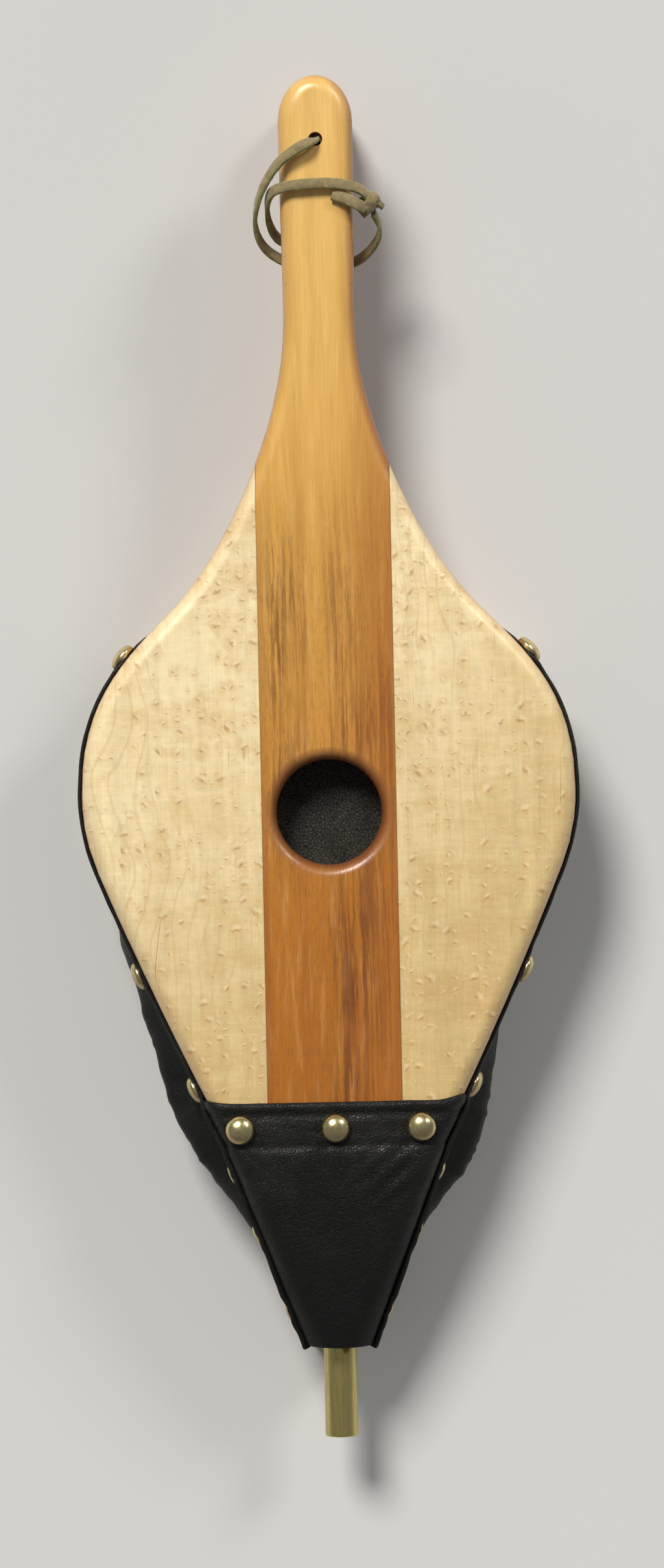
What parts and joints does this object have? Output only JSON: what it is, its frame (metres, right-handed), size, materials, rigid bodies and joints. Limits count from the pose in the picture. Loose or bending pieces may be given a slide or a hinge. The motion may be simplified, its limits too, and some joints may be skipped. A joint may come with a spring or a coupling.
{
  "type": "hand bellows",
  "caption": "Hearth hand bellows: two long-handled wooden boards with a round air inlet, black leather gusset and cap, domed tacks and a brass nozzle tube.",
  "frame": {"origin": "on the surface that the back board lies on, under the centre of the bounding box taken without the lace", "axes": "+X across the boards to the right of someone who faces the front board with its handle up, +Y from the nozzle towards the handle tips, +Z out of the front board's face"},
  "size_m": [0.1906, 0.518, 0.0633],
  "materials": {
    "strip_wood": "satin oiled",
    "wing_wood": "satin oiled",
    "block_wood": "bare",
    "black_leather": "semi-matte grained",
    "bright_brass": "polished",
    "aged_brass": "dull",
    "suede": "suede"
  },
  "bodies": {
    "back_board": {"back_centre_strip": "strip_wood", "back_wing_left": "wing_wood", "back_wing_right": "wing_wood", "nozzle_block": "block_wood", "nozzle_tube": "aged_brass", "leather_gusset": "black_leather", "leather_cap": "black_leather", "tack_block_left_1": "bright_brass", "tack_block_left_2": "bright_brass", "tack_block_left_3": "bright_brass", "tack_block_right_1": "bright_brass", "tack_block_right_2": "bright_brass", "tack_block_right_3": "bright_brass", "tack_back_left_1": "bright_brass", "tack_back_left_2": "bright_brass", "tack_back_left_3": "bright_brass", "tack_back_left_4": "bright_brass", "tack_back_right_1": "bright_brass", "tack_back_right_2": "bright_brass", "tack_back_right_3": "bright_brass", "tack_back_right_4": "bright_brass"},
    "front_board": {"front_centre_strip": "strip_wood", "front_wing_left": "wing_wood", "front_wing_right": "wing_wood", "valve_batten": "block_wood", "tack_valve_left": "bright_brass", "tack_valve_right": "bright_brass", "tack_cap_left": "bright_brass", "tack_cap_middle": "bright_brass", "tack_cap_right": "bright_brass", "tack_front_left_1": "bright_brass", "tack_front_left_2": "bright_brass", "tack_front_left_3": "bright_brass", "tack_front_right_1": "bright_brass", "tack_front_right_2": "bright_brass", "tack_front_right_3": "bright_brass", "lace": "suede", "lace_knot": "suede"},
    "valve_flap": {"valve_flap": "black_leather"}
  },
  "joints": [
    {"name": "board_hinge", "type": "hinge", "parent": "back_board", "child": "front_board", "pos_m": [0, -0.145, 0.057], "axis": [1, 0, 0], "range_deg": [0, 20], "deforming": ["leather_gusset", "leather_cap"]},
    {"name": "valve_hinge", "type": "hinge", "parent": "front_board", "child": "valve_flap", "pos_m": [0, 0.01, 0.0368], "axis": [1, 0, 0], "range_deg": [0, 15], "stiffness_Nm_per_rad": 0.05, "springref_deg": -3.44}
  ]
}
